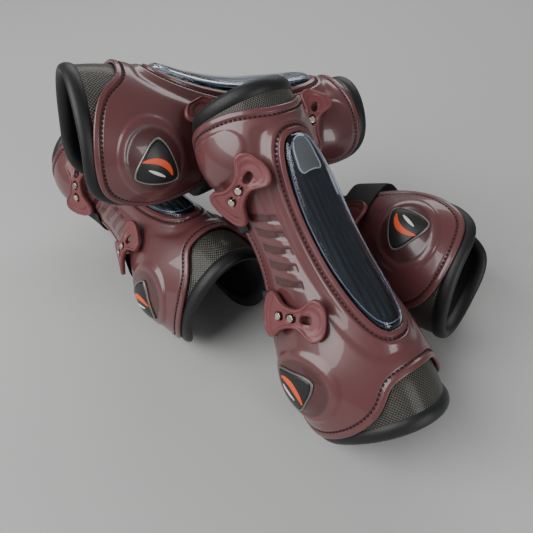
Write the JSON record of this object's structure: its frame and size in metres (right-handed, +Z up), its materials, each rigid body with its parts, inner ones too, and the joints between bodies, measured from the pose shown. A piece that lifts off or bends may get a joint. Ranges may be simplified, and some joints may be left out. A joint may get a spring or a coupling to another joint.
{
  "type": "tendon boots",
  "caption": "Horse tendon boots lying in a loose heap: open-fronted moulded shells with a clear back blister, neoprene lining, rolled ends and elastic straps closed by bow-tie toggles on studs.",
  "frame": {"origin": "on the floor under the middle of the heap", "axes": "+Z up from the floor, +X along the longer side of the heap, +Y from the front boot towards the boots behind it"},
  "size_m": [0.4093, 0.3397, 0.2167],
  "materials": {
    "shell": "glossy moulded burgundy TPU shell",
    "neoprene": "matte black neoprene faced with knitted fabric",
    "neoprene_roll": "smooth black neoprene rolled over and stitched",
    "woven_trim": "woven checked trim under a clear coat, dark grey",
    "clear_blister": "clear glossy moulded TPU blister",
    "ribbed_core": "dark grey ribbed moulded gel core",
    "badge": "black moulded badge",
    "stud_metal": "bright turned steel stud",
    "rivet_metal": "dark plated steel rivet",
    "elastic": "dark grey woven elastic webbing",
    "toggle": "satin moulded burgundy TPU toggle"
  },
  "bodies": {
    "left_a_boot": {"left_a_shell": "shell", "left_a_lining": "neoprene", "left_a_lower_roll": "neoprene_roll", "left_a_upper_roll": "neoprene_roll", "left_a_lower_trim": "woven_trim", "left_a_upper_trim": "woven_trim", "left_a_window": "clear_blister", "left_a_core": "ribbed_core", "left_a_badge": "badge", "left_a_studs": "stud_metal", "left_a_strap_rivets": "rivet_metal", "left_a_lower_strap": "elastic", "left_a_upper_strap": "elastic"},
    "left_a_lower_toggle_body": {"left_a_lower_toggle": "toggle"},
    "left_a_upper_toggle_body": {"left_a_upper_toggle": "toggle"},
    "right_a_boot": {"right_a_shell": "shell", "right_a_lining": "neoprene", "right_a_lower_roll": "neoprene_roll", "right_a_upper_roll": "neoprene_roll", "right_a_lower_trim": "woven_trim", "right_a_upper_trim": "woven_trim", "right_a_window": "clear_blister", "right_a_core": "ribbed_core", "right_a_badge": "badge", "right_a_studs": "stud_metal", "right_a_strap_rivets": "rivet_metal", "right_a_lower_strap": "elastic", "right_a_upper_strap": "elastic"},
    "right_a_lower_toggle_body": {"right_a_lower_toggle": "toggle"},
    "right_a_upper_toggle_body": {"right_a_upper_toggle": "toggle"},
    "left_b_boot": {"left_b_shell": "shell", "left_b_lining": "neoprene", "left_b_lower_roll": "neoprene_roll", "left_b_upper_roll": "neoprene_roll", "left_b_lower_trim": "woven_trim", "left_b_upper_trim": "woven_trim", "left_b_window": "clear_blister", "left_b_core": "ribbed_core", "left_b_badge": "badge", "left_b_studs": "stud_metal", "left_b_strap_rivets": "rivet_metal", "left_b_lower_strap": "elastic", "left_b_upper_strap": "elastic"},
    "left_b_lower_toggle_body": {"left_b_lower_toggle": "toggle"},
    "left_b_upper_toggle_body": {"left_b_upper_toggle": "toggle"},
    "right_b_boot": {"right_b_shell": "shell", "right_b_lining": "neoprene", "right_b_lower_roll": "neoprene_roll", "right_b_upper_roll": "neoprene_roll", "right_b_lower_trim": "woven_trim", "right_b_upper_trim": "woven_trim", "right_b_window": "clear_blister", "right_b_core": "ribbed_core", "right_b_badge": "badge", "right_b_studs": "stud_metal", "right_b_strap_rivets": "rivet_metal", "right_b_lower_strap": "elastic", "right_b_upper_strap": "elastic"},
    "right_b_lower_toggle_body": {"right_b_lower_toggle": "toggle"},
    "right_b_upper_toggle_body": {"right_b_upper_toggle": "toggle"}
  },
  "joints": [
    {"name": "left_a_lower_toggle_flip", "type": "hinge", "parent": "left_a_boot", "child": "left_a_lower_toggle_body", "pos_m": [0.01292, -0.09099, 0.08587], "axis": [-0.02, -0.617, -0.7867], "range_deg": [0, 105]},
    {"name": "left_a_upper_toggle_flip", "type": "hinge", "parent": "left_a_boot", "child": "left_a_upper_toggle_body", "pos_m": [-0.01606, -0.04522, 0.13693], "axis": [0.7733, -0.4665, -0.4293], "range_deg": [0, 105]},
    {"name": "right_a_lower_toggle_flip", "type": "hinge", "parent": "right_a_boot", "child": "right_a_lower_toggle_body", "pos_m": [-0.02303, 0.01633, 0.13958], "axis": [0.6459, 0.7606, 0.0649], "range_deg": [0, 10]},
    {"name": "right_a_upper_toggle_flip", "type": "hinge", "parent": "right_a_boot", "child": "right_a_upper_toggle_body", "pos_m": [0.04159, 0.05158, 0.12844], "axis": [0.9362, 0.0368, -0.3494], "range_deg": [0, 60]},
    {"name": "left_b_lower_toggle_flip", "type": "hinge", "parent": "left_b_boot", "child": "left_b_lower_toggle_body", "pos_m": [-0.11878, 0.00831, 0.04278], "axis": [0.2901, -0.8791, -0.3783], "range_deg": [0, 105]},
    {"name": "left_b_upper_toggle_flip", "type": "hinge", "parent": "left_b_boot", "child": "left_b_upper_toggle_body", "pos_m": [-0.16518, 0.06551, 0.05357], "axis": [0.8727, -0.4671, 0.1419], "range_deg": [0, 105]},
    {"name": "right_b_lower_toggle_flip", "type": "hinge", "parent": "right_b_boot", "child": "right_b_lower_toggle_body", "pos_m": [0.08515, 0.02208, 0.09686], "axis": [-0.6715, 0.5135, -0.5343], "range_deg": [0, 50]},
    {"name": "right_b_upper_toggle_flip", "type": "hinge", "parent": "right_b_boot", "child": "right_b_upper_toggle_body", "pos_m": [0.02789, 0.06849, 0.08649], "axis": [-0.7215, 0.6015, 0.3429], "range_deg": [0, 60]},
    {"name": "right_a_lift_off", "type": "slide", "parent": "left_b_boot", "child": "right_a_boot", "axis": [0, 0.3489, 0.9371], "range_m": [0, 0.15]},
    {"name": "left_a_lift_off", "type": "slide", "parent": "left_b_boot", "child": "left_a_boot", "axis": [0.2007, -0.853, 0.4817], "range_m": [0, 0.17]},
    {"name": "right_b_lift_off", "type": "slide", "parent": "left_b_boot", "child": "right_b_boot", "axis": [1, 0, 0], "range_m": [0, 0.18]}
  ]
}
